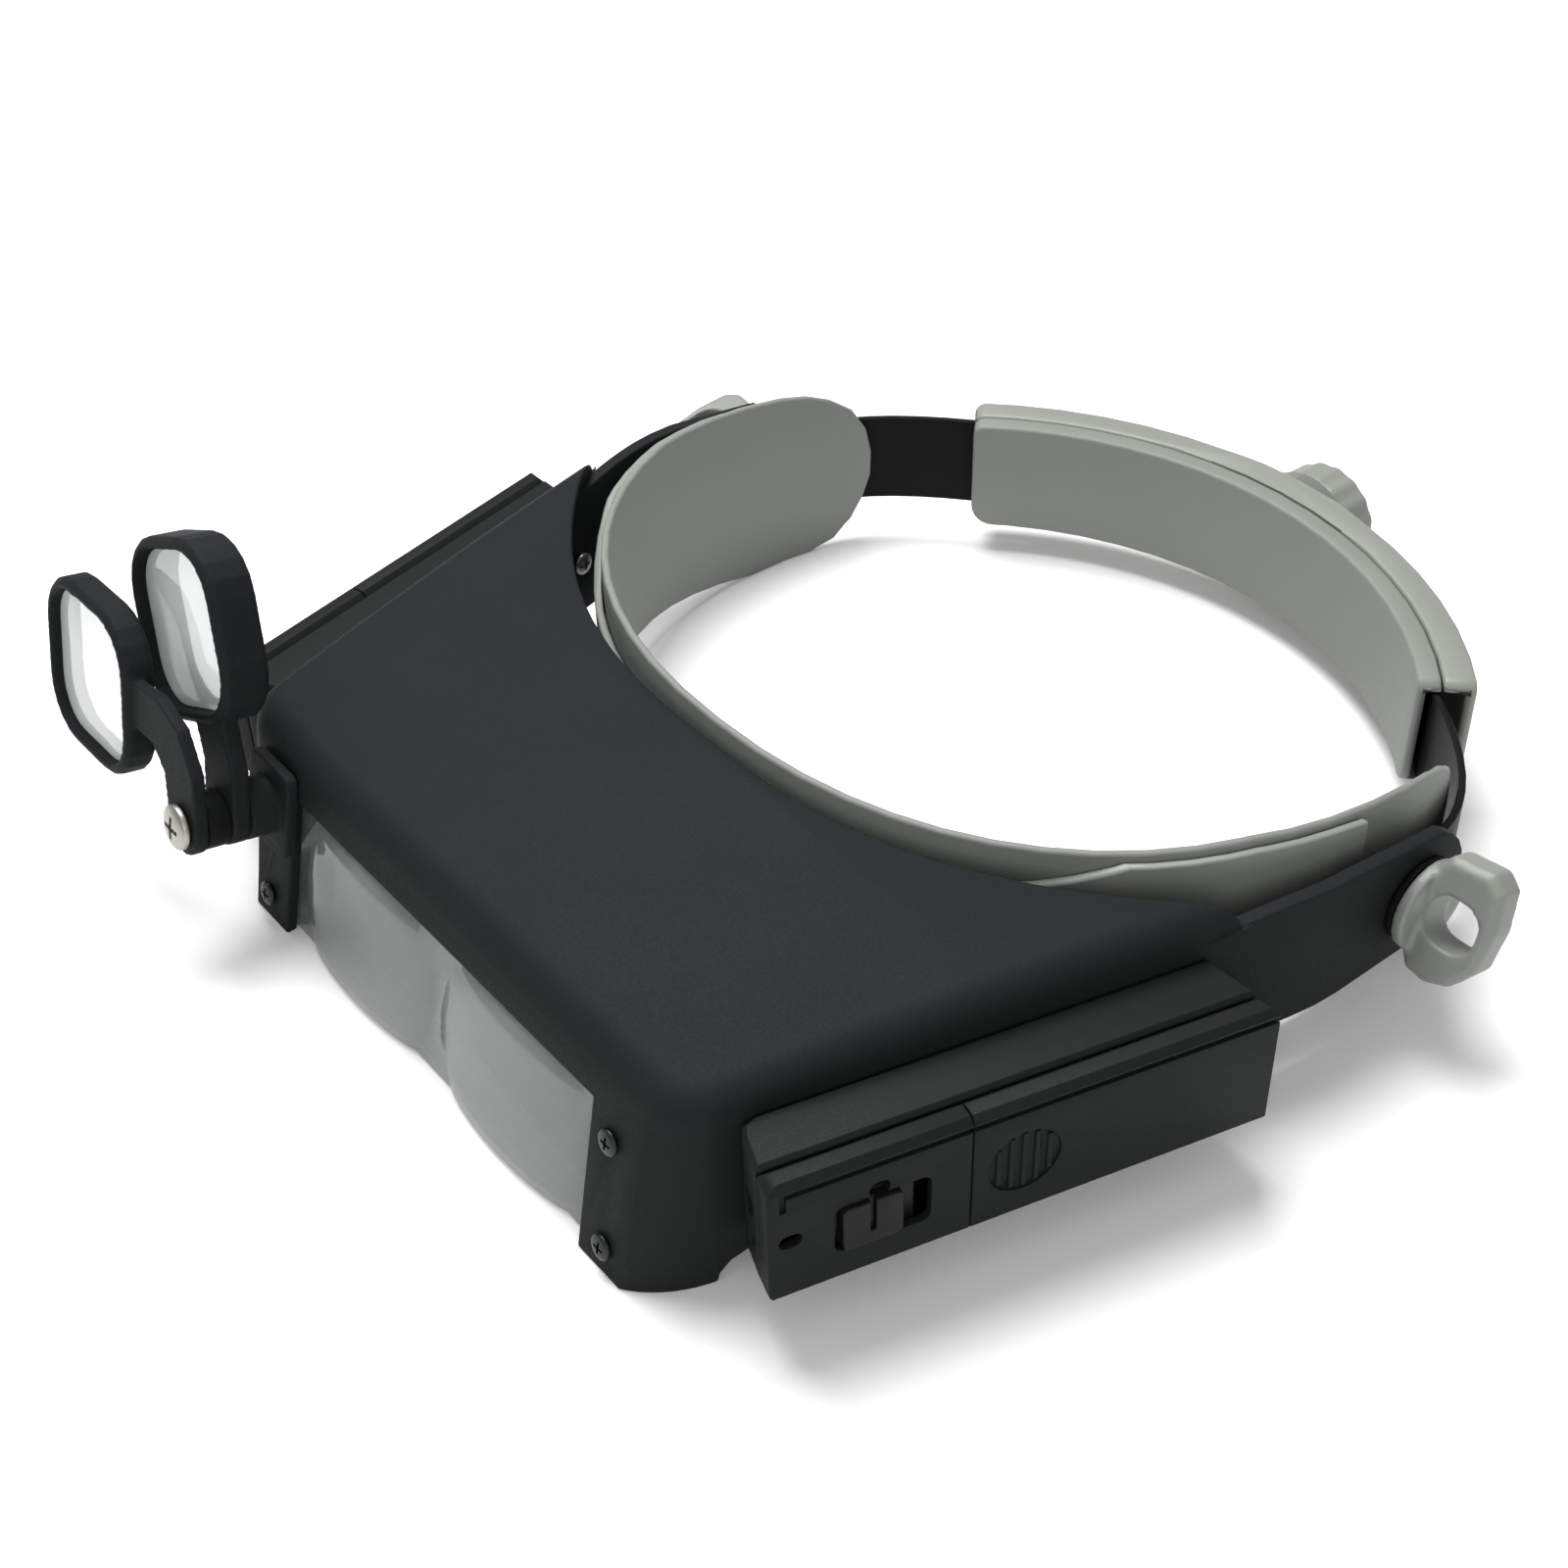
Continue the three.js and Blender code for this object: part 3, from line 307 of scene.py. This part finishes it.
def cad_copy(node):
    """The CAD node's surface as a bmesh, with the flat faces' inner edges dissolved."""
    bm = bmesh.new()
    bm.from_mesh(NODES[node].data)
    bmesh.ops.remove_doubles(bm, verts=bm.verts, dist=CAD_WELD)
    bmesh.ops.dissolve_limit(
        bm, angle_limit=FLAT_ANGLE, use_dissolve_boundaries=False, verts=bm.verts, edges=bm.edges,
    )
    return bm


def scratch_object(bm):
    """A linked object with the bmesh's surface. It frees the bmesh."""
    mesh = bpy.data.meshes.new("scratch")
    bm.to_mesh(mesh)
    bm.free()
    return link(bpy.data.objects.new("scratch", mesh))


def with_modifiers(obj):
    """The object's mesh with its modifiers applied, as a bmesh."""
    evaluated = obj.evaluated_get(bpy.context.evaluated_depsgraph_get())
    bm = bmesh.new()
    bm.from_mesh(evaluated.to_mesh())
    evaluated.to_mesh_clear()
    return bm


def is_closed(bm):
    return all(len(edge.link_faces) == 2 for edge in bm.edges)


def folded(bm, node):
    """True if rounding has pushed the surface out of the CAD node's box or changed its volume too much."""
    low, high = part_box(node)
    for vertex in bm.verts:
        for axis in range(3):
            if not low[axis] - BOX_SLACK <= vertex.co[axis] <= high[axis] + BOX_SLACK:
                return True
    plain = cad_copy(node)
    before = abs(plain.calc_volume())
    plain.free()
    after = abs(bm.calc_volume())
    return not LEAST_VOLUME * before < after < MOST_VOLUME * before


def rounded(node, radius, rides=True, where=lambda point: True):
    """A CAD node's shape with its sharp edges rounded to radius mm.

    It takes the first of BEVEL_SHARES that leaves the surface whole, or the CAD shape if none does. where
    says which edges, by their middle point.
    """
    for share in BEVEL_SHARES:
        bm = cad_copy(node)
        edges = []
        for edge in bm.edges:
            middle = (edge.verts[0].co + edge.verts[1].co) / 2
            if len(edge.link_faces) == 2 and edge.calc_face_angle() > SHARP_ANGLE and where(middle):
                edges.append(edge)
        bmesh.ops.bevel(
            bm, geom=edges, offset=radius * share * MM, offset_type="OFFSET", segments=BEVEL_SEGMENTS,
            profile=0.5, affect="EDGES", clamp_overlap=False,
        )
        bmesh.ops.remove_doubles(bm, verts=bm.verts, dist=BEVEL_WELD)
        bmesh.ops.dissolve_degenerate(bm, dist=BEVEL_WELD, edges=bm.edges)
        if is_closed(bm) and not folded(bm, node):
            return as_piece(bm, node, rides=rides)
        bm.free()
    return as_piece(cad_copy(node), node, rides=rides)


def cast(node, voxel, passes):
    """A CAD node's shape remeshed at voxel mm and relaxed, for a thick soft-edged moulding."""
    blank = scratch_object(cad_copy(node))
    remesh = blank.modifiers.new("remesh", "REMESH")
    remesh.mode = "VOXEL"
    remesh.voxel_size = voxel * MM
    relax = blank.modifiers.new("relax", "SMOOTH")
    relax.factor = 0.5
    relax.iterations = passes
    result = with_modifiers(blank)
    bpy.data.objects.remove(blank)
    return as_piece(result, node, smooth_below=180)


def subtract(bm, cutter):
    """bm less cutter, both closed. It frees both."""
    body, tool = scratch_object(bm), scratch_object(cutter)
    boolean = body.modifiers.new("cut", "BOOLEAN")
    boolean.operation = "DIFFERENCE"
    boolean.solver = "EXACT"
    boolean.object = tool
    result = with_modifiers(body)
    bpy.data.objects.remove(body)
    bpy.data.objects.remove(tool)
    return result


# --- screws ---------------------------------------------------------------------------------------------
LATHE_SIDES = 32
DOME_STEPS = 6
LENS_SCREW = {"head_r": 2.4 * MM, "head_h": 1.0 * MM, "shaft_r": 1.3 * MM}
PIVOT_SCREW = {"head_r": 4.4 * MM, "head_h": 2.0 * MM, "shaft_r": 1.5 * MM}
HOUSING_SCREW = {"head_r": 2.5 * MM, "head_h": 1.2 * MM, "shaft_r": 1.3 * MM}


def along(axis, origin):
    """A matrix that puts a local +Z along axis, at origin."""
    return Matrix.Translation(origin) @ Vector(axis).to_track_quat("Z", "Y").to_matrix().to_4x4()


def lathe(bm, profile, matrix):
    """Spins a profile of (radius, height), which starts and ends on the axis, round the matrix's Z."""
    rings = []
    for radius, height in profile:
        if radius == 0:
            rings.append([bm.verts.new(matrix @ Vector((0, 0, height)))])
            continue
        ring = []
        for i in range(LATHE_SIDES):
            angle = 2 * math.pi * i / LATHE_SIDES
            point = Vector((radius * math.cos(angle), radius * math.sin(angle), height))
            ring.append(bm.verts.new(matrix @ point))
        rings.append(ring)
    for below, above in zip(rings, rings[1:]):
        for i in range(LATHE_SIDES):
            j = (i + 1) % LATHE_SIDES
            corners = [
                below[i % len(below)], below[j % len(below)],
                above[j % len(above)], above[i % len(above)],
            ]
            bm.faces.new(list(dict.fromkeys(corners)))


def cross_recess(radius, depth, matrix):
    """A closed cutter for a plus-shaped driver recess, depth deep below the matrix's origin."""
    arm, half = radius * 0.62, radius * 0.13
    outline = []
    for quarter in range(4):
        cos, sin = math.cos(quarter * math.pi / 2), math.sin(quarter * math.pi / 2)
        for x, y in ((half, half), (half, arm), (-half, arm)):
            outline.append((x * cos - y * sin, x * sin + y * cos))
    bm = bmesh.new()
    low = [bm.verts.new(matrix @ Vector((x * 0.8, y * 0.8, -depth))) for x, y in outline]
    high = [bm.verts.new(matrix @ Vector((x, y, depth * 2))) for x, y in outline]
    bm.faces.new(low)
    bm.faces.new(high)
    for i in range(len(outline)):
        j = (i + 1) % len(outline)
        bm.faces.new((low[i], low[j], high[j], high[i]))
    bmesh.ops.recalc_face_normals(bm, faces=bm.faces)
    return bm


def pan_screw(node, axis, head_r, head_h, shaft_r):
    """A pan-head screw with a cross recess, its head towards axis, on the CAD screw's centre line."""
    points = [v.co for v in NODES[node].data.vertices]
    axis = Vector(axis).normalized()
    centre = sum(points, Vector()) / len(points)
    reach = [(p - centre).dot(axis) for p in points]
    top, bottom = max(reach), min(reach)
    under = top - head_h
    rim = top - head_h * 0.55
    profile = [
        (0, bottom), (shaft_r * 0.7, bottom), (shaft_r, bottom + 0.4 * MM), (shaft_r, under),
        (head_r * 0.94, under), (head_r, top - head_h * 0.85), (head_r, rim),
    ]
    for i in range(1, DOME_STEPS + 1):
        angle = i / DOME_STEPS * math.pi / 2
        radius = head_r * math.cos(angle) if i < DOME_STEPS else 0
        profile.append((radius, rim + (top - rim) * math.sin(angle)))
    bm = bmesh.new()
    matrix = along(axis, centre)
    lathe(bm, profile, matrix)
    bmesh.ops.recalc_face_normals(bm, faces=bm.faces)
    recess = cross_recess(head_r, head_h * 0.55, matrix @ Matrix.Translation((0, 0, top)))
    return as_piece(subtract(bm, recess), node, smooth_below=35)


# --- lenses ---------------------------------------------------------------------------------------------
LENS_FRONT = -AXIS_OF["front_loupe_swing"].normalized()
LOUPE_HALF = 14.8       # mm, half the outline's width
LOUPE_CORNER = 8.7      # mm, the outline's corner radius
CORNER_STEPS = 8
LENS_RINGS = (0.001, 0.25, 0.45, 0.65, 0.82, 0.94, 1)       # shares of the outline, from the middle out


def loupe_lens(node, turn, edge, sag):
    """A rounded-square biconvex lens, turned by turn degrees.

    edge is its rim's thickness and sag the swell of each face, in mm.
    """
    points = [v.co for v in NODES[node].data.vertices]
    centre = (Vector(map(min, *points)) + Vector(map(max, *points))) / 2
    across = Vector((1, 0, 0))
    up = LENS_FRONT.cross(across)
    angle = math.radians(turn)
    first = across * math.cos(angle) + up * math.sin(angle)
    second = up * math.cos(angle) - across * math.sin(angle)
    flat = LOUPE_HALF - LOUPE_CORNER
    outline = []
    for quarter, (sx, sy) in enumerate(((1, 1), (-1, 1), (-1, -1), (1, -1))):
        for i in range(CORNER_STEPS + 1):
            a = (quarter + i / CORNER_STEPS) * math.pi / 2
            outline.append((sx * flat + LOUPE_CORNER * math.cos(a), sy * flat + LOUPE_CORNER * math.sin(a)))
    levels = [(share, 1) for share in LENS_RINGS]
    levels += [(share, -1) for share in reversed(LENS_RINGS)]
    bm = bmesh.new()
    rings = []
    for share, face in levels:
        height = face * (edge / 2 + sag * (1 - share * share))
        rings.append([
            bm.verts.new(centre + (first * x * share + second * y * share + LENS_FRONT * height) * MM)
            for x, y in outline
        ])
    for lower, upper in zip(rings, rings[1:]):
        for i in range(len(outline)):
            j = (i + 1) % len(outline)
            bm.faces.new((lower[i], lower[j], upper[j], upper[i]))
    bm.faces.new(rings[0])
    bm.faces.new(rings[-1])
    return as_piece(bm, node, smooth_below=30)


# --- the object -----------------------------------------------------------------------------------------
EDGE_RADIUS = {      # mm, for the pieces whose edges are rounded
    "sweatband": 0.7,
    "front_band": 0.5,
    "rear_housing_inner": 0.8,
    "visor_shell": 0.5,
    "main_lens": 0.3,
    "flip_lens": 0.3,
    "loupe_bracket": 0.5,
    "loupe_spacer": 0.3,
}
SIDE_EDGE_RADIUS = {      # mm, for those that each side has
    "lamp_housing": 0.14,
    "switch_cover": 0.14,
    "battery_door": 0.14,
    "switch_slider": 0.3,
    "outer_washer": 0.3,
    "inner_washer": 0.3,
    "tilt_bolt": 0.3,
}
BOSS_MARGIN = 3 * MM        # the outer housing's edges stay sharp out to this far past the knob's sides,
BOSS_FROM_Y = 0.1           # where they also lie behind here, round the knob's boss


def make_straps():
    """Each strap is rounded, rides on no body, and has its place baked into its mesh."""
    for side in SIDES:
        strap = rounded(f"{side}_strap", radius=0.4, rides=False)
        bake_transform(strap)


def make_screws():
    for place in ("left_upper", "left_lower", "right_lower"):
        pan_screw(f"{place}_lens_screw", LENS_FRONT, **LENS_SCREW)
    pan_screw("loupe_pivot_screw", LENS_FRONT, **PIVOT_SCREW)
    for side, sign in (("left", 1), ("right", -1)):
        inward = AXIS_OF[f"{side}_door_slide"].cross(Vector((0, 0, 1))) * -sign
        for place in ("rear", "front"):
            pan_screw(f"{side}_{place}_housing_screw", inward, **HOUSING_SCREW)


def make_object():
    for node, radius in EDGE_RADIUS.items():
        rounded(node, radius)
    for side in SIDES:
        for part, radius in SIDE_EDGE_RADIUS.items():
            rounded(f"{side}_{part}", radius)
        cast(f"{side}_tilt_knob", voxel=0.5, passes=6)
    boss_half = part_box("adjuster_knob")[1].x + BOSS_MARGIN
    rounded(
        "rear_housing_outer", radius=0.9,
        where=lambda point: abs(point.x) > boss_half or point.y < BOSS_FROM_Y,
    )
    cast("adjuster_knob", voxel=0.4, passes=14)
    cast("front_loupe_frame", voxel=0.35, passes=5)
    cast("rear_loupe_frame", voxel=0.35, passes=5)
    make_straps()
    make_screws()
    loupe_lens("front_loupe_lens", turn=3, edge=1.6, sag=1.0)
    loupe_lens("rear_loupe_lens", turn=24, edge=2.4, sag=1.3)
    for node, obj in NODES.items():
        obj.data.materials.clear()
        obj.data.materials.append(MATERIALS[SLOT_OF[node]])


make_camera()
make_studio()
make_floor()
make_object()
